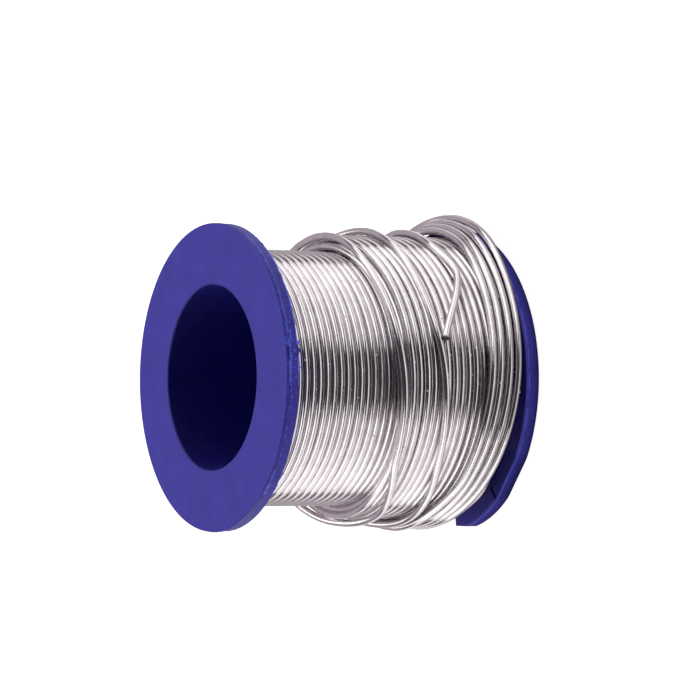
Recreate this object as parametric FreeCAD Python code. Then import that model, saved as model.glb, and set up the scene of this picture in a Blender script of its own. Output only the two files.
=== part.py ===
import FreeCAD, Part
import math
import os

# Solder wire spool, standing on its bottom flange.
# Units are millimetres, +Z runs up the spool's axis, and the origin is the centre of the
# bottom flange's outer face. Places round the axis are given as azimuths in degrees from +X
# towards +Y, so the side that is looked at most faces -Y, azimuth 270.

# Spool: one plastic moulding
FLANGE_RADIUS = 21.0
SPOOL_HEIGHT = 39.5
BORE_RADIUS = 12.6
BARREL_RADIUS = 14.8
TOP_FLANGE = 1.9
BOTTOM_FLANGE = 2.15

# Mould parting round each rim: a narrow band under the flange's upper face stands proud of the rest
RIM_BAND = 0.5
RIM_RELIEF = 0.06
FACE_EDGE_ROUNDING = 0.2
INNER_EDGE_ROUNDING = 0.15
ROOT_ROUNDING = 0.4

# Flat on the bottom flange's rim, with a shallow recess beside it in the inner face
FLAT_AZIMUTH = 229.5
FLAT_HALF_ANGLE = 12.2
RECESS_DEPTH = 0.25
RECESS_INNER_RADIUS = 19.0
RECESS_HALF_ANGLE = 11.0

# Second flat on the same rim, with a notch in it that the wire's end can be caught in
LOWER_FLAT_AZIMUTH = 180.0
LOWER_FLAT_HALF_ANGLE = 14.8
NOTCH_AZIMUTH = 179.0
NOTCH_HALF_ANGLE = 9.2
NOTCH_RADIUS = 19.1

# Solder wire
WIRE_DIAMETER = 1.0
FLUX_DIAMETER = 0.35
NEAT_RADIUS = 17.6
BUILT_UP_RADIUS = 19.45
BUILT_UP_TOP = 20.4
STEP_HEIGHT = 0.9

# Slack turns that lie against the bottom flange, pushed a little to the +X side
SLACK_OFFSET = 1.4
SLACK_BOTTOM = 2.4
SLACK_TOP = 9.0
SLACK_RADIUS = 21.2
SLACK_SHOULDER = 1.2

# Route of the free end's centre line: azimuth, distance from the axis, height
FREE_END_ROUTE = [
    (24.0, 20.4, 8.0),
    (13.0, 20.4, 9.3),
    (2.0, 20.4, 9.9),
    (-10.0, 20.4, 9.75),
    (-22.0, 20.4, 10.1),
    (-33.0, 20.4, 9.75),
    (-42.0, 20.4, 8.95),
    (-51.0, 20.4, 10.1),
    (-60.0, 20.4, 11.75),
    (-68.5, 20.4, 13.45),
    (-74.2, 20.4, 14.3),
]
ARC_SHARE = 0.45

FULL_TURN = 360.0
CUT_MARGIN = 1.0
ORIGIN = FreeCAD.Vector(0, 0, 0)
UP = FreeCAD.Vector(0, 0, 1)


def polar(azimuth, radius, height):
    """The point at an azimuth in degrees, a distance from the axis and a height."""
    angle = math.radians(azimuth)
    return FreeCAD.Vector(radius * math.cos(angle), radius * math.sin(angle), height)


def revolve(profile, centre_x=0.0):
    """The solid swept by a closed outline of (radius, height) points about an upright axis."""
    points = [FreeCAD.Vector(centre_x + radius, 0, height) for radius, height in profile]
    outline = Part.makePolygon(points + points[:1])
    return Part.Face(outline).revolve(FreeCAD.Vector(centre_x, 0, 0), UP, FULL_TURN)


def ring_edges(shape, radius, height):
    """The circular edges of a given radius that lie at a given height."""
    found = []
    for edge in shape.Edges:
        curve = edge.Curve
        if isinstance(curve, Part.Circle):
            same_radius = abs(curve.Radius - radius) < FreeCAD.Base.Precision.confusion()
            same_height = abs(curve.Center.z - height) < FreeCAD.Base.Precision.confusion()
            if same_radius and same_height:
                found.append(edge)
    return found


def sector(azimuth, half_angle, inner, outer, low, high):
    """A piece of a ring, centred on an azimuth."""
    ring = Part.makeCylinder(outer, high - low, FreeCAD.Vector(0, 0, low), UP, 2 * half_angle)
    ring.rotate(ORIGIN, UP, azimuth - half_angle)
    return ring.cut(Part.makeCylinder(inner, high - low, FreeCAD.Vector(0, 0, low)))


def spool_blank():
    """Barrel and both flanges as turned, before the bottom flange's flat and recess."""
    lower_rim = FLANGE_RADIUS - RIM_RELIEF
    top_face_inner = SPOOL_HEIGHT - TOP_FLANGE
    profile = [
        (BORE_RADIUS, 0),
        (lower_rim, 0),
        (lower_rim, BOTTOM_FLANGE - RIM_BAND),
        (FLANGE_RADIUS, BOTTOM_FLANGE - RIM_BAND),
        (FLANGE_RADIUS, BOTTOM_FLANGE),
        (BARREL_RADIUS, BOTTOM_FLANGE),
        (BARREL_RADIUS, top_face_inner),
        (lower_rim, top_face_inner),
        (lower_rim, SPOOL_HEIGHT - RIM_BAND),
        (FLANGE_RADIUS, SPOOL_HEIGHT - RIM_BAND),
        (FLANGE_RADIUS, SPOOL_HEIGHT),
        (BORE_RADIUS, SPOOL_HEIGHT),
    ]
    blank = revolve(profile)
    for radius, height, rounding in (
        (lower_rim, 0, FACE_EDGE_ROUNDING),
        (FLANGE_RADIUS, SPOOL_HEIGHT, FACE_EDGE_ROUNDING),
        (BORE_RADIUS, 0, FACE_EDGE_ROUNDING),
        (BORE_RADIUS, SPOOL_HEIGHT, FACE_EDGE_ROUNDING),
        (FLANGE_RADIUS, BOTTOM_FLANGE, INNER_EDGE_ROUNDING),
        (lower_rim, top_face_inner, INNER_EDGE_ROUNDING),
        (BARREL_RADIUS, BOTTOM_FLANGE, ROOT_ROUNDING),
        (BARREL_RADIUS, top_face_inner, ROOT_ROUNDING),
    ):
        blank = blank.makeFillet(rounding, ring_edges(blank, radius, height))
    return blank


def flat_chip(azimuth, half_angle):
    """What a flat takes off the bottom flange's rim."""
    distance = FLANGE_RADIUS * math.cos(math.radians(half_angle))
    chip = Part.makeBox(
        FLANGE_RADIUS - distance + CUT_MARGIN,
        2 * FLANGE_RADIUS,
        BOTTOM_FLANGE + CUT_MARGIN,
        FreeCAD.Vector(distance, -FLANGE_RADIUS, -CUT_MARGIN / 2),
    )
    chip.rotate(ORIGIN, UP, azimuth)
    return chip


def make_spool():
    """The whole moulding, with the flats, the shallow recess and the notch in the bottom flange."""
    outside = FLANGE_RADIUS + CUT_MARGIN
    above = BOTTOM_FLANGE + CUT_MARGIN
    floor = BOTTOM_FLANGE - RECESS_DEPTH
    cuts = [
        flat_chip(FLAT_AZIMUTH, FLAT_HALF_ANGLE),
        flat_chip(LOWER_FLAT_AZIMUTH, LOWER_FLAT_HALF_ANGLE),
        sector(FLAT_AZIMUTH, RECESS_HALF_ANGLE, RECESS_INNER_RADIUS, outside, floor, above),
        sector(NOTCH_AZIMUTH, NOTCH_HALF_ANGLE, NOTCH_RADIUS, outside, -CUT_MARGIN, above),
    ]
    spool = spool_blank()
    for piece in cuts:
        spool = spool.cut(piece)
    return spool


def make_winding(spool):
    """Outer shape of the tight layers: full width to the neat radius, then built up lower down."""
    top = SPOOL_HEIGHT - TOP_FLANGE
    profile = [
        (BARREL_RADIUS, BOTTOM_FLANGE),
        (BUILT_UP_RADIUS, BOTTOM_FLANGE),
        (BUILT_UP_RADIUS, BUILT_UP_TOP),
        (NEAT_RADIUS, BUILT_UP_TOP + STEP_HEIGHT),
        (NEAT_RADIUS, top),
        (BARREL_RADIUS, top),
    ]
    return revolve(profile).cut(spool)


def make_slack_turns(free_end):
    """Outer shape of the slack turns, off centre, round the built-up winding."""
    inner = BUILT_UP_RADIUS - 2 * SLACK_OFFSET
    profile = [
        (inner, SLACK_BOTTOM),
        (SLACK_RADIUS - SLACK_SHOULDER / 2, SLACK_BOTTOM),
        (SLACK_RADIUS, SLACK_BOTTOM + SLACK_SHOULDER),
        (SLACK_RADIUS, SLACK_TOP - SLACK_SHOULDER),
        (SLACK_RADIUS - SLACK_SHOULDER / 2, SLACK_TOP),
        (inner, SLACK_TOP),
    ]
    winding_space = Part.makeCylinder(BUILT_UP_RADIUS, SPOOL_HEIGHT)
    return revolve(profile, SLACK_OFFSET).cut(winding_space).cut(free_end)


def smooth_path(points):
    """Straight runs joined by tangent arcs, with the radius of each arc."""
    edges = []
    radii = []
    start = points[0]
    for before, corner, after in zip(points, points[1:], points[2:]):
        back = (before - corner).normalize()
        ahead = (after - corner).normalize()
        half_turn = (math.pi - back.getAngle(ahead)) / 2
        reach = ARC_SHARE * min(before.distanceToPoint(corner), corner.distanceToPoint(after))
        radius = reach / math.tan(half_turn)
        entry = corner + back * reach
        leave = corner + ahead * reach
        inward = (back + ahead).normalize()
        middle = corner + inward * (radius / math.cos(half_turn) - radius)
        edges.append(Part.LineSegment(start, entry).toShape())
        edges.append(Part.Arc(entry, middle, leave).toShape())
        radii.append(radius)
        start = leave
    edges.append(Part.LineSegment(start, points[-1]).toShape())
    return Part.Wire(edges), radii


def rod_along(path, start, direction, diameter):
    """A round rod of one diameter along a path."""
    section = Part.Wire([Part.Circle(start, direction, diameter / 2).toShape()])
    return path.makePipeShell([section], True, True)


def make_free_end():
    """The last stretch of wire, as a sheath of solder and the flux core inside it."""
    points = [polar(*place) for place in FREE_END_ROUTE]
    path, radii = smooth_path(points)
    direction = points[1] - points[0]
    whole = rod_along(path, points[0], direction, WIRE_DIAMETER)
    flux = rod_along(path, points[0], direction, FLUX_DIAMETER)
    section = math.pi * WIRE_DIAMETER ** 2 / 4
    print("free end arc radii:", " ".join("%.1f" % radius for radius in radii))
    print("free end length %.2f, volume %.3f, section x length %.3f"
          % (path.Length, whole.Volume, section * path.Length))
    return whole, whole.cut(flux), flux


def main():
    os.makedirs("parts", exist_ok=True)
    spool = make_spool()
    whole_end, sheath, flux = make_free_end()
    parts = {
        "spool": spool,
        "wire_winding": make_winding(spool),
        "slack_turns": make_slack_turns(whole_end),
        "wire_free_end": sheath,
        "flux_core": flux,
    }
    for name, shape in parts.items():
        shape.exportStep("parts/%s.step" % name)
        print("%-14s valid %s solids %d volume %.2f" % (name, shape.isValid(), len(shape.Solids), shape.Volume))


main()
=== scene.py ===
import math
import random

import bmesh
import bpy
from mathutils import Matrix, Vector


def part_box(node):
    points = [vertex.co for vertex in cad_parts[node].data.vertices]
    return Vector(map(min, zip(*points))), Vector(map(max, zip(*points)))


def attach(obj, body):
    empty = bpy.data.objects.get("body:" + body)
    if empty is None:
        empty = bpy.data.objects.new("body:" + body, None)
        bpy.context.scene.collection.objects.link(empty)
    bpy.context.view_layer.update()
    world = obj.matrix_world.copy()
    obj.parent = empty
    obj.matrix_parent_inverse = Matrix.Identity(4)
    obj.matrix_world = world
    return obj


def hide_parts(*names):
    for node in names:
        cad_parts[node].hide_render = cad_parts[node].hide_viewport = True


# Solder wire spool, standing on its bottom flange. The lengths below are in millimetres and
# are turned into metres by MM. Places round the axis are azimuths in degrees from +X towards +Y.

MM = 0.001
FULL_TURN = 360.0

# Camera: image right is down the spool's axis, image up is +X
CAMERA_DISTANCE = 0.6812
CAMERA_ELEVATION = 29.915
CAMERA_ROLL = 0.58
CAMERA_LENS = 254.05
SENSOR_WIDTH = 36.0
SHIFT_X = 0.01825
SHIFT_Y = 0.0410

# Wire: diameters and the reach of the painted shade at its cut end in millimetres, and how its curve is
# drawn
WIRE_DIAMETER = 1.0
FLUX_DIAMETER = 0.35
SHADED_TIP_REACH = 0.5
POINTS_PER_TURN = 12
TURN_STEP = FULL_TURN / POINTS_PER_TURN
CURVE_STEPS = 5
BEVEL_RESOLUTION = 3
ROUND_UP = 1.03
SEED = 7

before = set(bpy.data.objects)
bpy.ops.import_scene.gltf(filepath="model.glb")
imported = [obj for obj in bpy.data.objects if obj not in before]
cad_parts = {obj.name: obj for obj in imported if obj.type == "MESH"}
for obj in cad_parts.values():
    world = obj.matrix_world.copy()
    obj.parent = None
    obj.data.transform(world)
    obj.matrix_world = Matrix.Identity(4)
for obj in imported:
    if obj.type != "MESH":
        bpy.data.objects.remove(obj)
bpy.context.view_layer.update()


def polar(azimuth, radius, height):
    """The point at an azimuth in degrees, a distance from the axis and a height, in metres."""
    angle = math.radians(azimuth)
    return Vector((radius * math.cos(angle), radius * math.sin(angle), height)) * MM


def round_gap(azimuth, centre):
    """How far an azimuth is from another, from -180 to 180 degrees."""
    return (azimuth - centre + FULL_TURN / 2) % FULL_TURN - FULL_TURN / 2


def bell(azimuth, centre, width):
    """A smooth share, 1 at the centre azimuth and fading over the width in degrees."""
    return math.exp(-(round_gap(azimuth, centre) / width) ** 2)


def one_sided(azimuth, centre):
    """A smooth share, 1 at the centre azimuth and 0 opposite it."""
    return ((1 + math.cos(math.radians(azimuth - centre))) / 2) ** 2


# ---------------------------------------------------------------- camera

def make_camera():
    low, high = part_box("spool")
    target = (low + high) / 2
    elevation = math.radians(CAMERA_ELEVATION)
    roll = math.radians(CAMERA_ROLL)
    back = Vector((0, -math.cos(elevation), math.sin(elevation)))
    level_up = Vector((0, math.sin(elevation), math.cos(elevation)))
    along_x = Vector((1, 0, 0))
    image_up = along_x * math.cos(roll) + level_up * math.sin(roll)
    image_right = along_x * math.sin(roll) - level_up * math.cos(roll)
    data = bpy.data.cameras.new("camera")
    data.lens = CAMERA_LENS
    data.sensor_width = SENSOR_WIDTH
    data.shift_x = SHIFT_X
    data.shift_y = SHIFT_Y
    data.clip_start = 0.01
    camera = bpy.data.objects.new("camera", data)
    axes = Matrix((image_right, image_up, back)).transposed()
    camera.matrix_world = Matrix.Translation(target + back * CAMERA_DISTANCE) @ axes.to_4x4()
    bpy.context.scene.collection.objects.link(camera)
    bpy.context.scene.camera = camera


# ---------------------------------------------------------------- wire

def wandering(count, spacing, rng):
    """A smooth seeded value between -1 and 1 for each of count places."""
    knots = [rng.uniform(-1, 1) for _ in range(count // spacing + 3)]
    values = []
    for i in range(count):
        place, part = divmod(i / spacing, 1)
        ease = part * part * (3 - 2 * part)
        values.append(knots[int(place)] * (1 - ease) + knots[int(place) + 1] * ease)
    return values


# The winding: where it begins, where its turns spread and lean, and how uneven they are
WINDING_START = 60.0
FAN_AZIMUTH = 20.0
LEAN_AZIMUTH = 195.0
BUILT_UP_HEIGHT = 20.0
LIFT_SPACING = 7
SWELL_SPACING = 5
SWELL_SHARE = 0.35
CALM_ENDS = 6


def layer(start, turns, radius, first_height, last_height, wander, loose, fan, lean, rng):
    """One layer of turns: its control points, and the azimuth that it ends at.

    The turns stand off by loose and lie higher by the share fan, both most on the +X side. The
    lower turns are pushed up by lean, most on the -X side.
    """
    count = round(turns * POINTS_PER_TURN)
    lift = wandering(count, LIFT_SPACING, rng)
    swell = wandering(count, SWELL_SPACING, rng)
    points = []
    for i in range(count):
        share = i / (count - 1)
        azimuth = start - TURN_STEP * i
        calm = min(1.0, CALM_ENDS * min(share, 1 - share))
        height = first_height + (last_height - first_height) * share
        height *= 1 + fan * one_sided(azimuth, FAN_AZIMUTH)
        low_share = max(0.0, 1 - height / BUILT_UP_HEIGHT)
        height += lean * one_sided(azimuth, LEAN_AZIMUTH) * low_share
        height += wander * lift[i] * calm
        distance = radius + wander * SWELL_SHARE * swell[i] + loose * one_sided(azimuth, 0)
        points.append((azimuth, distance, height))
    return points, start - TURN_STEP * count


# Layers: turns, radius, first height, last height, wander, loose, fan, lean
LAYERS = [
    (33.0, 15.3, 37.05, 2.7, 0.0, 0.0, 0.0, 0.0),
    (33.0, 16.15, 2.7, 37.05, 0.0, 0.0, 0.0, 0.0),
    (32.5, 17.05, 37.05, 2.7, 0.045, 0.0, 0.0, 0.0),
    (16.0, 17.98, 2.7, 20.1, 0.06, 0.2, 0.12, 0.6),
    (15.0, 18.87, 19.7, 2.8, 0.11, 0.5, 0.09, 1.7),
]

# From the end of the last layer out to the slack turns: azimuth, radius, height
STEP_OUT = [
    (225, 19.4, 3.7),
    (210, 20.0, 4.9),
    (195, 20.3, 5.9),
    (180, 20.4, 6.6),
    (165, 20.35, 7.2),
    (150, 20.35, 7.7),
]

# The outermost slack turn against the bottom flange, in equal steps from SLACK_START: radius, height
SLACK_START = 135.0
SLACK_TURN = [
    (20.4, 8.5),
    (20.5, 8.0),
    (20.7, 7.3),
    (20.9, 6.7),
    (21.2, 6.2),
    (21.5, 5.5),
    (21.9, 4.5),
    (22.2, 3.5),
    (22.4, 2.7),
    (22.5, 2.2),
    (22.4, 2.1),
    (22.15, 2.35),
    (21.6, 2.65),
    (21.0, 2.7),
    (20.6, 2.8),
    (20.5, 3.1),
    (20.6, 3.7),
    (20.8, 4.4),
    (20.9, 5.3),
    (20.8, 6.1),
    (20.5, 6.7),
    (20.25, 7.35),
    (20.2, 7.95),
    (20.3, 8.3),
]
SLACK_POINTS = 91
SLACK_PITCH = 1.02
SLACK_LEAN = 0.6
SLACK_SPREAD = 0.32
SLACK_SPREAD_AZIMUTH = -95.0
SLACK_GAP = 0.24
SLACK_GAP_AZIMUTH = -24.0
SLACK_GAP_WIDTH = 20.0
SLACK_SPREAD_WIDTH = 50.0
SLACK_STRAY = 0.075
STRAY_SPACING = 4

# From the slack turns up the far side to the edge of the build-up, one turn round that edge,
# and two open loops: azimuth, radius, height
LOOSE_TURNS = [
    (-167, 20.6, 10.5),
    (-186, 20.3, 11.4),
    (-208, 20.3, 12.2),
    (-236, 20.3, 14.0),
    (-262, 20.2, 16.2),
    (-286, 20.2, 18.4),
    (-307, 20.3, 20.3),
    (-321, 20.0, 21.3),
    (-334, 19.75, 21.95),
    (-348, 19.55, 22.25),
    (-360, 19.6, 22.3),
    (-372, 19.7, 22.3),
    (-384, 19.75, 22.4),
    (-397, 19.8, 22.5),
    (-408, 19.85, 22.3),
    (-421, 19.95, 21.9),
    (-434, 19.95, 21.4),
    (-445, 19.95, 21.0),
    (-454, 19.95, 20.7),
    (-464, 19.95, 20.45),
    (-475, 19.95, 20.3),
    (-486, 20.0, 20.0),
    (-498, 20.2, 18.9),
    (-510, 20.4, 18.0),
    (-522, 20.2, 17.8),
    (-536, 19.9, 18.7),
    (-554, 19.8, 20.0),
    (-576, 19.9, 20.8),
    (-602, 20.0, 20.9),
    (-628, 20.1, 20.5),
    (-652, 20.3, 19.7),
    (-674, 20.4, 18.6),
    (-694, 20.45, 17.4),
    (-710, 20.45, 16.6),
    (-724, 20.4, 16.2),
    (-738, 20.3, 16.15),
    (-752, 20.2, 16.1),
    (-766, 20.1, 16.1),
    (-780, 19.95, 15.7),
    (-794, 19.9, 15.0),
    (-807, 19.9, 14.4),
    (-820, 19.9, 14.0),
    (-833, 19.9, 13.6),
    (-845, 19.9, 13.2),
    (-856, 19.95, 12.5),
    (-867, 20.0, 11.9),
    (-878, 20.1, 11.7),
    (-889, 20.2, 12.0),
    (-901, 20.1, 12.8),
    (-915, 20.2, 13.6),
    (-935, 20.7, 13.9),
    (-958, 21.1, 13.2),
    (-983, 21.0, 11.9),
    (-1008, 20.9, 10.5),
    (-1031, 20.6, 9.2),
    (-1048, 20.4, 8.4),
]

# The free end's route is the same as the CAD model's
FREE_END_ROUTE = [
    (24.0, 20.4, 8.0),
    (13.0, 20.4, 9.3),
    (2.0, 20.4, 9.9),
    (-10.0, 20.4, 9.75),
    (-22.0, 20.4, 10.1),
    (-33.0, 20.4, 9.75),
    (-42.0, 20.4, 8.95),
    (-51.0, 20.4, 10.1),
    (-60.0, 20.4, 11.75),
    (-68.5, 20.4, 13.45),
    (-74.2, 20.4, 14.3),
]


def slack_turns(rng):
    """The bundle of slack turns, each beside the one before, nearer the axis on the +X side."""
    count = len(SLACK_TURN)
    stray = wandering(SLACK_POINTS, STRAY_SPACING, rng)
    points = []
    for i in range(SLACK_POINTS):
        azimuth = SLACK_START - FULL_TURN * i / count
        radius, height = SLACK_TURN[i % count]
        turn = i / count - 0.5
        inwards = SLACK_LEAN * max(0.0, math.cos(math.radians(azimuth))) ** 1.5
        spread = SLACK_SPREAD * bell(azimuth, SLACK_SPREAD_AZIMUTH, SLACK_SPREAD_WIDTH)
        upwards = math.sqrt(SLACK_PITCH ** 2 - inwards ** 2) * (1 + spread)
        upper_turns = max(0.0, min(1.0, 2 * turn - 0.6))
        turn += SLACK_GAP * bell(azimuth, SLACK_GAP_AZIMUTH, SLACK_GAP_WIDTH) * upper_turns
        turn += SLACK_STRAY * stray[i]
        points.append((azimuth, radius - inwards * turn, height + upwards * turn))
    return points


def held_out(points):
    """The same places with each radius made up for the corner that the spline cuts there."""
    fixed = []
    for i, (azimuth, radius, height) in enumerate(points):
        before = points[max(i - 1, 0)][0]
        after = points[min(i + 1, len(points) - 1)][0]
        step = abs((before - after + FULL_TURN / 2) % FULL_TURN - FULL_TURN / 2) / 2
        fixed.append((azimuth, radius / math.cos(math.radians(step / 2)), height))
    return fixed


def wire_points():
    rng = random.Random(SEED)
    azimuth = WINDING_START
    points = []
    for turns, radius, *rest in LAYERS:
        more, azimuth = layer(azimuth, turns, radius, *rest, rng)
        points += more
    points += STEP_OUT + slack_turns(rng) + LOOSE_TURNS
    return [polar(*place) for place in held_out(points) + FREE_END_ROUTE]


def spline_curve(name, points, radius):
    """An open NURBS curve with those control points, as a round tube."""
    data = bpy.data.curves.new(name, "CURVE")
    data.dimensions = "3D"
    data.resolution_u = CURVE_STEPS
    data.bevel_depth = radius
    data.bevel_resolution = BEVEL_RESOLUTION
    data.use_fill_caps = True
    spline = data.splines.new("NURBS")
    spline.points.add(len(points) - 1)
    for point, place in zip(spline.points, points):
        point.co = (*place, 1)
    spline.order_u = 3
    spline.use_endpoint_u = True
    spline.use_smooth = True
    curve = bpy.data.objects.new(name, data)
    bpy.context.scene.collection.objects.link(curve)
    return curve


# The rosin core's end: how many rings and sides, how far it is domed, sunk and carried inwards
DOT_RINGS = 5
DOT_SIDES = 20
DOT_RISE = 0.35
DOT_SINK = 0.05
DOT_DEPTH = 0.3


def make_flux_dot(end, direction):
    """The rosin core's end, a small domed disc in the middle of the cut."""
    bm = bmesh.new()
    radius = FLUX_DIAMETER / 2 * MM
    turns = [math.tau * i / DOT_SIDES for i in range(DOT_SIDES)]
    rings = []
    for step in range(DOT_RINGS):
        angle = math.radians(90 * step / DOT_RINGS)
        width = radius * math.cos(angle)
        rise = radius * DOT_RISE * (1 - math.cos(angle)) - DOT_SINK * MM
        rings.append([bm.verts.new((width * math.cos(a), width * math.sin(a), rise)) for a in turns])
    top = bm.verts.new((0, 0, radius * DOT_RISE - DOT_SINK * MM))
    base = [bm.verts.new((v.co.x, v.co.y, v.co.z - DOT_DEPTH * MM)) for v in rings[0]]
    rings.insert(0, base)
    for i in range(DOT_SIDES):
        j = (i + 1) % DOT_SIDES
        for low, high in zip(rings, rings[1:]):
            bm.faces.new((low[i], low[j], high[j], high[i]))
        bm.faces.new((rings[-1][i], rings[-1][j], top))
    bm.faces.new(list(reversed(base)))
    mesh = bpy.data.meshes.new("flux_dot")
    bm.to_mesh(mesh)
    bm.free()
    for polygon in mesh.polygons:
        polygon.use_smooth = True
    turned = direction.to_track_quat("Z", "Y").to_matrix().to_4x4()
    mesh.transform(Matrix.Translation(end) @ turned)
    dot = bpy.data.objects.new("flux_dot", mesh)
    bpy.context.scene.collection.objects.link(dot)
    return dot


# ---------------------------------------------------------------- spool

FLANGE_RADIUS = 21.0
SPOOL_HEIGHT = 39.5
BORE_RADIUS = 12.6
BARREL_RADIUS = 14.8
TOP_FLANGE = 1.9
BOTTOM_FLANGE = 2.15
RIM_BAND = 0.5
RIM_RELIEF = 0.06
FLAT_AZIMUTH = 229.5
FLAT_HALF_ANGLE = 12.2
RECESS_DEPTH = 0.25
RECESS_INNER_RADIUS = 19.0
RECESS_HALF_ANGLE = 11.0
LOWER_FLAT_AZIMUTH = 180.0
LOWER_FLAT_HALF_ANGLE = 14.8
NOTCH_AZIMUTH = 179.0
NOTCH_HALF_ANGLE = 9.2
NOTCH_RADIUS = 19.1

# Moulding flash on the top flange's rim: where it is torn, nicked and ragged, and how widely
TORN_AZIMUTH = -78.0
TORN_WIDTH = 8.0
NICK_AZIMUTH = 226.0
NICK_WIDTH = 4.0
RAGGED_AZIMUTH = 305.0
RAGGED_WIDTH = 28.0
# Flash that stands out more than this gets the lighter blue copy of the plastic, a painted highlight.
LIT_COPY_FROM = 0.45

# The mesh: columns round the axis, steps round a corner, and the faces that hold a corner's shape
AROUND = 720
ARC_STEPS = 5
SUPPORT = 0.05
SHARP_ANGLE = 38.0
EDGE_GAP = 0.04


def rounded_outline(corners):
    """Points of a closed (radius, height, tag) outline, each corner rounded by its own radius."""
    outline = []
    count = len(corners)
    for i, (x, y, rounding, tag) in enumerate(corners):
        corner = Vector((x, y))
        if not rounding:
            outline.append((x, y, tag))
            continue
        back = (Vector(corners[i - 1][:2]) - corner).normalized()
        ahead = (Vector(corners[(i + 1) % count][:2]) - corner).normalized()
        half = math.acos(max(-1, min(1, back.dot(ahead)))) / 2
        reach = rounding / math.tan(half)
        centre = corner + (back + ahead).normalized() * (rounding / math.sin(half))
        start = corner + back * reach - centre
        turn = math.pi - 2 * half
        side = 1 if back.x * ahead.y - back.y * ahead.x < 0 else -1
        outline.append((*(corner + back * (reach + SUPPORT)), tag))
        for step in range(ARC_STEPS + 1):
            angle = side * turn * step / ARC_STEPS
            x_now = start.x * math.cos(angle) - start.y * math.sin(angle)
            y_now = start.x * math.sin(angle) + start.y * math.cos(angle)
            outline.append((centre.x + x_now, centre.y + y_now, tag))
        outline.append((*(corner + ahead * (reach + SUPPORT)), tag))
    return outline


def spool_outline():
    """The section of the spool: radius, height, rounding and tag of each corner."""
    lower_rim = FLANGE_RADIUS - RIM_RELIEF
    inner_top = SPOOL_HEIGHT - TOP_FLANGE
    band = BOTTOM_FLANGE - RIM_BAND
    top_band = SPOOL_HEIGHT - RIM_BAND
    return rounded_outline([
        (BORE_RADIUS, 0, 0.25, ""),
        (lower_rim, 0, 0.2, "low"),
        (lower_rim, band - 0.06, 0, "low"),
        (FLANGE_RADIUS + 0.02, band - 0.01, 0, "low_ridge"),
        (FLANGE_RADIUS, band + 0.05, 0, "low"),
        (FLANGE_RADIUS, BOTTOM_FLANGE, 0.13, "low"),
        (RECESS_INNER_RADIUS + 0.03, BOTTOM_FLANGE, 0, "recess"),
        (RECESS_INNER_RADIUS, BOTTOM_FLANGE, 0, ""),
        (BARREL_RADIUS, BOTTOM_FLANGE, 0.4, ""),
        (BARREL_RADIUS, inner_top, 0.4, ""),
        (lower_rim - 0.12, inner_top, 0, ""),
        (lower_rim - 0.03, inner_top, 0, "burr"),
        (lower_rim, inner_top + 0.03, 0, "burr"),
        (lower_rim, inner_top + 0.14, 0, ""),
        (lower_rim, top_band - 0.12, 0, ""),
        (FLANGE_RADIUS, top_band - 0.06, 0, "ridge"),
        (FLANGE_RADIUS, top_band + 0.04, 0, "ridge"),
        (FLANGE_RADIUS, top_band + 0.10, 0, "top"),
        (FLANGE_RADIUS, SPOOL_HEIGHT, 0.07, "top"),
        (BORE_RADIUS, SPOOL_HEIGHT, 0.22, "bore"),
    ])


def spool_azimuths():
    """The columns' azimuths, with a pair at each edge of the flats, the recess and the notch."""
    values = [FULL_TURN * i / AROUND for i in range(AROUND)]
    for centre, edge in (
        (FLAT_AZIMUTH, FLAT_HALF_ANGLE),
        (FLAT_AZIMUTH, RECESS_HALF_ANGLE),
        (LOWER_FLAT_AZIMUTH, LOWER_FLAT_HALF_ANGLE),
        (NOTCH_AZIMUTH, NOTCH_HALF_ANGLE),
    ):
        for side in (-1, 1):
            values += [centre + side * (edge - EDGE_GAP), centre + side * (edge + EDGE_GAP)]
    return sorted(values)


def rim_limit(azimuth):
    """How far out the bottom flange reaches at an azimuth, with its two flats and its notch."""
    limit = FLANGE_RADIUS + 1
    flats = ((FLAT_AZIMUTH, FLAT_HALF_ANGLE), (LOWER_FLAT_AZIMUTH, LOWER_FLAT_HALF_ANGLE))
    for centre, half_angle in flats:
        away = round_gap(azimuth, centre)
        if abs(away) < half_angle:
            limit = FLANGE_RADIUS * math.cos(math.radians(half_angle)) / math.cos(math.radians(away))
    if abs(round_gap(azimuth, NOTCH_AZIMUTH)) < NOTCH_HALF_ANGLE:
        limit = NOTCH_RADIUS
    return limit


def flash_at(azimuth, slow):
    """How far the flash stands out at an azimuth, from 0 to 1, and how torn it is."""
    torn = bell(azimuth, TORN_AZIMUTH, TORN_WIDTH) + 0.5 * bell(azimuth, NICK_AZIMUTH, NICK_WIDTH)
    flash = 0.3 + 0.5 * slow + bell(azimuth, RAGGED_AZIMUTH, RAGGED_WIDTH) + torn
    return max(0.0, min(1.0, flash)), torn


def worked_in(azimuth, radius, height, tag, flash, torn, rough):
    """An outline point with the flash, the flats, the notch and the recess worked in."""
    if tag == "ridge":
        radius += flash * 0.07 + max(0.0, rough[0]) * (0.08 * flash + 0.4 * torn)
        height += rough[1] * (0.06 * flash + 0.28 * torn)
    if tag == "burr":
        radius += max(0.0, rough[3]) * (0.06 * flash + 0.3 * torn)
        height -= max(0.0, rough[2]) * (0.12 * flash + 0.45 * torn)
    if tag == "low_ridge":
        radius += max(0.0, rough[2] - 0.3) * 0.12
        height += rough[2] * 0.05
    if tag == "bore":
        radius -= max(0.0, rough[3] - 0.55) * 0.12
    if tag in ("low", "low_ridge"):
        radius = min(radius, rim_limit(azimuth))
    in_recess = abs(round_gap(azimuth, FLAT_AZIMUTH)) < RECESS_HALF_ANGLE
    if in_recess and tag in ("low", "recess"):
        if height > BOTTOM_FLANGE - 0.14 and radius > RECESS_INNER_RADIUS:
            height = BOTTOM_FLANGE - RECESS_DEPTH
    return radius, height


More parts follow.
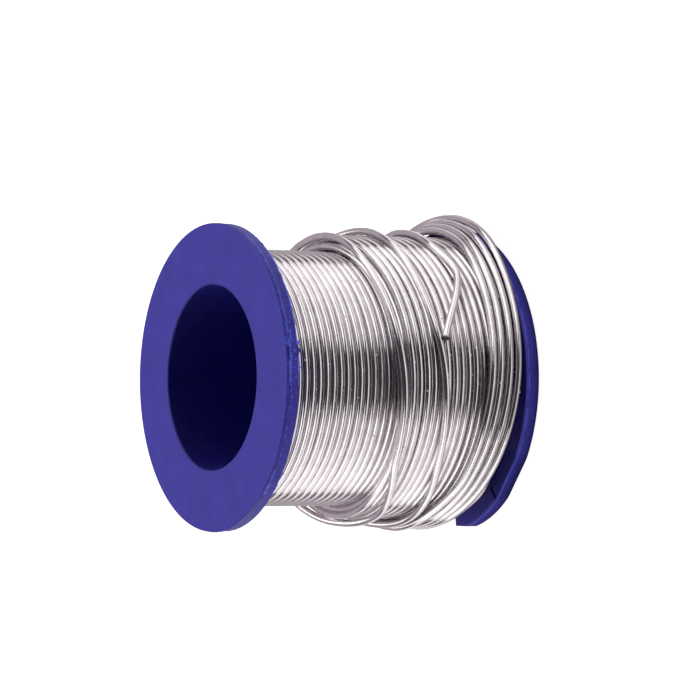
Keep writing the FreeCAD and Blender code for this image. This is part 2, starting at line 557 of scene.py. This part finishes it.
def make_spool():
    rng = random.Random(SEED + 1)
    outline = spool_outline()
    azimuths = spool_azimuths()
    count = len(azimuths)
    slow = wandering(count, 60, rng)
    roughs = list(zip(*[wandering(count, spacing, rng) for spacing in (2, 3, 3, 3)]))
    bm = bmesh.new()
    columns = []
    flashes = []
    for i, azimuth in enumerate(azimuths):
        flash, torn = flash_at(azimuth, slow[i])
        flashes.append(flash)
        column = []
        for radius, height, tag in outline:
            place = worked_in(azimuth, radius, height, tag, flash, torn, roughs[i])
            column.append(bm.verts.new(polar(azimuth, *place)))
        columns.append(column)
    for i in range(count):
        here, there = columns[i], columns[(i + 1) % count]
        for k in range(len(outline)):
            m = (k + 1) % len(outline)
            face = bm.faces.new((here[k], there[k], there[m], here[m]))
            tags = (outline[k][2], outline[m][2])
            on_flash = "ridge" in tags or "burr" in tags
            # The lit copy of the plastic, a painted highlight, goes on the bottom rim's ridge and on the
            # flash that stands out most.
            if "low_ridge" in tags or on_flash and flashes[i] > LIT_COPY_FROM:
                face.material_index = 1
    bmesh.ops.recalc_face_normals(bm, faces=bm.faces)
    mesh = bpy.data.meshes.new("spool_moulding")
    bm.to_mesh(mesh)
    bm.free()
    mesh.shade_smooth()
    mesh.set_sharp_from_angle(angle=math.radians(SHARP_ANGLE))
    spool = bpy.data.objects.new("spool_moulding", mesh)
    bpy.context.scene.collection.objects.link(spool)
    return spool


# ---------------------------------------------------------------- materials

class Nodes:
    """Builds a material's nodes with short calls."""

    def __init__(self, name):
        self.material = bpy.data.materials.new(name)
        self.material.use_nodes = True
        self.tree = self.material.node_tree
        self.shader = self.tree.nodes["Principled BSDF"]

    def add(self, kind, **settings):
        node = self.tree.nodes.new(kind)
        for name, value in settings.items():
            setattr(node, name, value)
        return node

    def plug(self, value, socket):
        if isinstance(value, bpy.types.NodeSocket):
            self.tree.links.new(value, socket)
        else:
            socket.default_value = value

    def maths(self, operation, *values):
        node = self.add("ShaderNodeMath", operation=operation)
        for value, socket in zip(values, node.inputs):
            self.plug(value, socket)
        return node.outputs[0]

    def millimetres(self):
        """The object's own coordinates in millimetres."""
        node = self.add("ShaderNodeVectorMath", operation="SCALE")
        self.plug(self.add("ShaderNodeTexCoord").outputs["Object"], node.inputs[0])
        node.inputs["Scale"].default_value = 1 / MM
        return node.outputs[0]

    def noise(self, vector, scale, detail=3.0, rough=0.5):
        node = self.add("ShaderNodeTexNoise")
        self.plug(vector, node.inputs["Vector"])
        node.inputs["Scale"].default_value = scale
        node.inputs["Detail"].default_value = detail
        node.inputs["Roughness"].default_value = rough
        return node.outputs[0]

    def spread(self, value, low, high, to_low, to_high):
        node = self.add("ShaderNodeMapRange")
        for number, socket in zip((value, low, high, to_low, to_high), node.inputs):
            self.plug(number, socket)
        return node.outputs[0]

    def blend(self, factor, first, second):
        node = self.add("ShaderNodeMix", data_type="RGBA")
        self.plug(factor, node.inputs["Factor"])
        self.plug((*first, 1) if isinstance(first, tuple) else first, node.inputs["A"])
        self.plug((*second, 1) if isinstance(second, tuple) else second, node.inputs["B"])
        return node.outputs["Result"]

    def bump(self, height, strength, distance, normal=None):
        node = self.add("ShaderNodeBump")
        node.inputs["Strength"].default_value = strength
        node.inputs["Distance"].default_value = distance
        self.plug(height, node.inputs["Height"])
        if normal is not None:
            self.plug(normal, node.inputs["Normal"])
        return node.outputs[0]

    def around(self):
        """The object's own x, y and z and its distance from the axis, in millimetres."""
        parts = self.add("ShaderNodeSeparateXYZ")
        self.plug(self.millimetres(), parts.inputs[0])
        x, y, z = parts.outputs
        squares = self.maths("ADD", self.maths("MULTIPLY", x, x), self.maths("MULTIPLY", y, y))
        return x, y, z, self.maths("SQRT", squares)

    def along_wire(self, lengthwise, across):
        """Coordinates stretched along the azimuth: (way round, distance out, height), in mm."""
        x, y, z, out = self.around()
        joined = self.add("ShaderNodeCombineXYZ")
        self.plug(self.maths("MULTIPLY", self.maths("ARCTAN2", y, x), lengthwise), joined.inputs[0])
        self.plug(self.maths("MULTIPLY", out, across), joined.inputs[1])
        self.plug(self.maths("MULTIPLY", z, across), joined.inputs[2])
        return joined.outputs[0]


def painted_flash_highlights(m, place):
    """Painted highlights on the rims, as a share: glints where the rims are torn and ragged, most of
    them on the top one's near side, and a painted highlight line along the top face's outer edge.
    """
    x, y, z, out = m.around()
    away = m.maths("ABSOLUTE", m.maths("SUBTRACT", m.maths("ARCTAN2", y, x), math.radians(TORN_AZIMUTH)))
    torn = m.spread(away, math.radians(4), math.radians(17), 1.0, 0.0)
    near_side = m.spread(away, math.radians(25), math.radians(75), 1.0, 0.0)
    torn = m.maths("MULTIPLY", torn, m.maths("GREATER_THAN", z, SPOOL_HEIGHT / 2))
    on_rim = m.maths("GREATER_THAN", out, FLANGE_RADIUS - 0.09)
    middle = m.maths("ABSOLUTE", m.maths("SUBTRACT", z, SPOOL_HEIGHT - RIM_BAND - 0.1))
    line = m.spread(middle, 0.05, 0.3, 1.0, 0.0)
    # The glints are painted highlights: lighter blue where the rough flash would catch the light.
    glint_noise = m.noise(place, 2.3, 4.0, 0.65)
    level = m.maths("ADD", glint_noise, m.maths("MULTIPLY", torn, 0.09))
    level = m.maths("ADD", level, m.maths("MULTIPLY", m.maths("MULTIPLY", line, near_side), 0.10))
    painted_glint_and_bump = m.maths("MULTIPLY", m.spread(level, 0.635, 0.675, 0.0, 1.0), on_rim)
    # A painted highlight line along the top face's outer edge, on the near side.
    from_edge_line = m.maths("ABSOLUTE", m.maths("SUBTRACT", out, FLANGE_RADIUS - 0.13))
    painted_edge_highlight = m.spread(from_edge_line, 0.03, 0.11, 0.35, 0.0)
    painted_edge_highlight = m.maths("MULTIPLY", painted_edge_highlight, m.maths("GREATER_THAN", z, SPOOL_HEIGHT - 0.1))
    return m.maths("MAXIMUM", painted_glint_and_bump, m.maths("MULTIPLY", painted_edge_highlight, near_side))


def plastic_material(name, dark, light):
    """Blue moulded plastic: satin, with a slight orange peel, scuffs, cloudy colour, and painted
    highlights on the flash and along the top face's edge.
    """
    m = Nodes(name)
    place = m.millimetres()
    clouds = m.noise(place, 0.25, 4.0)
    peel = m.noise(place, 3.2, 2.0)
    grain = m.noise(place, 14.0, 3.0, 0.7)
    scuffs = m.spread(m.noise(place, 1.1, 6.0, 0.75), 0.58, 0.74, 0.0, 1.0)
    colour = m.blend(m.spread(clouds, 0.35, 0.65, 0.0, 1.0), dark, light)
    colour = m.blend(m.maths("MULTIPLY", scuffs, 0.25), colour, (0.10, 0.09, 0.55))
    painted_glint_and_bump = painted_flash_highlights(m, place)
    # Painted highlights: lighter blue on the flash glints and on the top face's edge line. The same
    # share also bumps the surface below.
    colour = m.blend(painted_glint_and_bump, colour, (0.10, 0.145, 0.95))
    m.plug(colour, m.shader.inputs["Base Color"])
    roughness = m.spread(grain, 0.3, 0.7, 0.36, 0.46)
    roughness = m.maths("ADD", roughness, m.maths("MULTIPLY", scuffs, 0.1))
    m.plug(roughness, m.shader.inputs["Roughness"])
    m.shader.inputs["IOR"].default_value = 1.49
    m.shader.inputs["Specular IOR Level"].default_value = 0.3
    normal = m.bump(peel, 0.25, 0.05 * MM)
    normal = m.bump(grain, 0.35, 0.01 * MM, normal)
    normal = m.bump(painted_glint_and_bump, 0.6, 0.12 * MM, normal)
    m.plug(normal, m.shader.inputs["Normal"])
    return m.material


def solder_material(end):
    """Drawn solder: bright soft metal with fine lines along it, specks of dust, and painted shade at the
    cut end, which is also made rougher.
    """
    m = Nodes("solder_metal")
    place = m.millimetres()
    lines = m.noise(m.along_wire(9.0, 9.0), 1.0, 4.0, 0.65)
    patches = m.noise(place, 0.5, 3.0)
    grain = m.noise(place, 9.0, 3.0, 0.7)
    patchy = m.spread(patches, 0.35, 0.65, 0.0, 1.0)
    colour = m.blend(patchy, (0.83, 0.80, 0.805), (0.75, 0.71, 0.725))
    colour = m.blend(m.spread(lines, 0.52, 0.75, 0.0, 0.25), colour, (0.55, 0.50, 0.52))
    cells = m.add("ShaderNodeTexVoronoi")
    m.plug(place, cells.inputs["Vector"])
    cells.inputs["Scale"].default_value = 0.8
    small = m.maths("LESS_THAN", cells.outputs["Distance"], 0.10)
    few = m.add("ShaderNodeSeparateXYZ")
    m.plug(cells.outputs["Color"], few.inputs[0])
    speck = m.maths("MULTIPLY", small, m.maths("GREATER_THAN", few.outputs[0], 0.55))
    from_end = m.add("ShaderNodeVectorMath", operation="DISTANCE")
    m.plug(place, from_end.inputs[0])
    from_end.inputs[1].default_value = end / MM
    # Painted shade: near the cut end the metal is dark, and it is made rougher there too.
    rough_and_shaded_tip = m.spread(from_end.outputs["Value"], SHADED_TIP_REACH, SHADED_TIP_REACH + 0.15, 1.0, 0.0)
    colour = m.blend(speck, colour, (0.85, 0.83, 0.82))
    m.plug(m.blend(rough_and_shaded_tip, colour, (0.13, 0.11, 0.12)), m.shader.inputs["Base Color"])
    m.plug(m.maths("SUBTRACT", 1.0, speck), m.shader.inputs["Metallic"])
    roughness = m.spread(lines, 0.3, 0.7, 0.09, 0.18)
    roughness = m.maths("ADD", roughness, m.spread(grain, 0.3, 0.7, -0.02, 0.03))
    roughness = m.maths("ADD", roughness, m.maths("MULTIPLY", speck, 0.6))
    roughness = m.maths("ADD", roughness, m.maths("MULTIPLY", rough_and_shaded_tip, 0.4))
    m.plug(roughness, m.shader.inputs["Roughness"])
    normal = m.bump(lines, 0.25, 0.012 * MM)
    normal = m.bump(grain, 0.2, 0.008 * MM, normal)
    m.plug(normal, m.shader.inputs["Normal"])
    return m.material


def flux_material():
    """Amber rosin, dull and dark where it shows at the cut."""
    m = Nodes("rosin")
    grain = m.noise(m.millimetres(), 9.0, 3.0)
    m.plug(m.blend(grain, (0.10, 0.05, 0.02), (0.32, 0.18, 0.06)), m.shader.inputs["Base Color"])
    m.plug(m.spread(grain, 0.3, 0.7, 0.35, 0.6), m.shader.inputs["Roughness"])
    m.plug(m.bump(grain, 0.3, 0.01 * MM), m.shader.inputs["Normal"])
    return m.material


def floor_material():
    """White table to look at. Only the part near the spool throws light back at it, by glowing though it
    is no lamp, and that glow is faded out under and just round the spool as a painted shadow of it.
    """
    m = Nodes("white_table")
    grain = m.noise(m.millimetres(), 0.8, 3.0)
    m.plug(m.blend(grain, (0.60, 0.60, 0.60), (0.64, 0.64, 0.64)), m.shader.inputs["Base Color"])
    m.shader.inputs["Roughness"].default_value = 0.9
    m.shader.inputs["Specular IOR Level"].default_value = 0.1
    m.shader.inputs["Emission Color"].default_value = (1.0, 0.985, 1.0, 1)
    m.shader.inputs["Emission Strength"].default_value = FLOOR_GLOW
    x, y, z, out = m.around()
    # Painted shadow: the glow is cut down under and just round the spool.
    painted_spool_shadow = m.spread(out, FLANGE_RADIUS, FLANGE_RADIUS + 16, 0.1, 1.0)
    front = m.spread(y, -TABLE_FRONT - 15, -TABLE_FRONT, 0.04, 1.0)
    rear = m.spread(m.maths("DIVIDE", y, out), 0.45, 0.65, 1.0, 0.42)
    strength = m.maths("MULTIPLY", painted_spool_shadow, front)
    strength = m.maths("MULTIPLY", strength, m.maths("MULTIPLY", rear, TABLE_GLOW))
    path = m.add("ShaderNodeLightPath")
    matt = path.outputs["Is Diffuse Ray"]
    strength = m.maths("MULTIPLY", strength, m.maths("SUBTRACT", 1.0, matt))
    # For matt surfaces too, the glow starts only past the spool's rim, a painted shadow at its foot.
    bounce = m.spread(out, FLANGE_RADIUS, FLANGE_RADIUS + 4, 0.0, TABLE_BOUNCE)
    bounce = m.maths("MULTIPLY", bounce, m.spread(out, 30.0, 60.0, 1.0, 0.7))
    # Surfaces seen only by way of a reflection get almost none of this glow, a painted shade.
    nearest = m.maths("LESS_THAN", path.outputs["Ray Depth"], 1.5)
    bounce = m.maths("MULTIPLY", bounce, m.spread(nearest, 0.0, 1.0, 0.04, 1.0))
    strength = m.maths("ADD", strength, m.maths("MULTIPLY", bounce, matt))
    glow = m.add("ShaderNodeEmission")
    glow.inputs["Color"].default_value = (1.0, 0.955, 0.98, 1)
    m.plug(strength, glow.inputs["Strength"])
    either = m.add("ShaderNodeMixShader")
    m.plug(path.outputs["Is Camera Ray"], either.inputs[0])
    m.plug(glow.outputs[0], either.inputs[1])
    m.plug(m.shader.outputs[0], either.inputs[2])
    m.plug(either.outputs[0], m.tree.nodes["Material Output"].inputs["Surface"])
    return m.material


# ---------------------------------------------------------------- light

# The table: its side in metres, its drop below the spool in millimetres, how bright it looks,
# how bright it is in shiny surfaces and on matt ones, and where its bright part ends in front
FLOOR_SIZE = 6.0
FLOOR_DROP = 0.02
FLOOR_GLOW = 0.95
TABLE_GLOW = 1.05
TABLE_BOUNCE = 1.7
TABLE_FRONT = 60
PANEL_TINT = (1.0, 0.985, 0.99)

# Soft panels, a pair of each, one on either side: name, azimuth from the near side, elevation,
# distance, width, height, brightness in shiny surfaces and brightness on matt surfaces
PANELS = [
    ("side_panel", 75.0, 26.0, 0.80, 1.42, 0.72, 1.35, 0.36),
    ("high_panel", 142.0, 62.0, 0.85, 0.80, 0.62, 1.25, 2.55),
]


def make_panel(name, azimuth, elevation, distance, width, height, gloss, matt):
    """A soft panel that faces the spool. The azimuth is from the near side towards +X."""
    turn = math.radians(azimuth)
    rise = math.radians(elevation)
    toward = Vector((math.sin(turn) * math.cos(rise), -math.cos(turn) * math.cos(rise), math.sin(rise)))
    facing = toward.to_track_quat("Z", "Y").to_matrix().to_4x4()
    for part, brightness in (("_gloss", gloss), ("_matt", matt)):
        data = bpy.data.lights.new(name + part, "AREA")
        data.shape = "RECTANGLE"
        data.size = width
        data.size_y = height
        data.energy = brightness * math.pi * width * height
        data.color = PANEL_TINT
        panel = bpy.data.objects.new(name + part, data)
        panel.matrix_world = Matrix.Translation(toward * distance) @ facing
        panel.visible_camera = False
        panel.visible_diffuse = part == "_matt"
        panel.visible_glossy = part == "_gloss"
        bpy.context.scene.collection.objects.link(panel)


def make_world():
    """A room that is pale behind the spool and dark on the near side and overhead."""
    world = bpy.data.worlds.new("studio")
    bpy.context.scene.world = world
    world.use_nodes = True
    tree = world.node_tree
    parts = tree.nodes.new("ShaderNodeSeparateXYZ")
    tree.links.new(tree.nodes.new("ShaderNodeTexCoord").outputs["Generated"], parts.inputs[0])
    share = tree.nodes.new("ShaderNodeMath")
    share.operation = "MULTIPLY"
    for part, limits, into in (
        (parts.outputs[1], (0.52, 0.70, 0.0, 1.0), share.inputs[0]),
        (parts.outputs[2], (0.55, 0.85, 1.0, 0.25), share.inputs[1]),
    ):
        spread = tree.nodes.new("ShaderNodeMapRange")
        for number, socket in zip(limits, list(spread.inputs)[1:]):
            socket.default_value = number
        tree.links.new(part, spread.inputs[0])
        tree.links.new(spread.outputs[0], into)
    mix = tree.nodes.new("ShaderNodeMix")
    mix.data_type = "RGBA"
    tree.links.new(share.outputs[0], mix.inputs["Factor"])
    mix.inputs["A"].default_value = (0.042, 0.038, 0.044, 1)
    mix.inputs["B"].default_value = (0.44, 0.38, 0.43, 1)
    tree.links.new(mix.outputs["Result"], tree.nodes["Background"].inputs["Color"])


def make_floor():
    mesh = bpy.data.meshes.new("floor")
    half = FLOOR_SIZE / 2
    corners = [(-half, -half), (half, -half), (half, half), (-half, half)]
    mesh.from_pydata([(x, y, -FLOOR_DROP * MM) for x, y in corners], [], [(0, 1, 2, 3)])
    floor = bpy.data.objects.new("floor", mesh)
    mesh.materials.append(floor_material())
    bpy.context.scene.collection.objects.link(floor)


make_camera()
make_world()
make_floor()
for name, azimuth, *rest in PANELS:
    make_panel(name + "_plus_x", azimuth, *rest)
    make_panel(name + "_minus_x", -azimuth, *rest)
bpy.context.scene.view_settings.view_transform = "Standard"

points = wire_points()
wire = spline_curve("solder_wire", points, WIRE_DIAMETER / 2 * ROUND_UP * MM)
wire.data.materials.append(solder_material(points[-1]))
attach(wire, "root")
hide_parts("wire_winding", "slack_turns", "wire_free_end")

flux_dot = make_flux_dot(points[-1], (points[-1] - points[-2]).normalized())
flux_dot.data.materials.append(flux_material())
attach(flux_dot, "root")
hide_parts("flux_core")

spool = make_spool()
# The second material is a lighter copy of the same blue plastic, painted as if lit: a painted highlight
# on the flash and on the bottom rim's ridge.
for name, dark, light in (
    ("blue_plastic", (0.031, 0.026, 0.345), (0.040, 0.034, 0.405)),
    ("blue_flash_lit_copy", (0.09, 0.125, 0.88), (0.16, 0.21, 0.98)),
):
    spool.data.materials.append(plastic_material(name, dark, light))
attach(spool, "root")
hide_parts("spool")
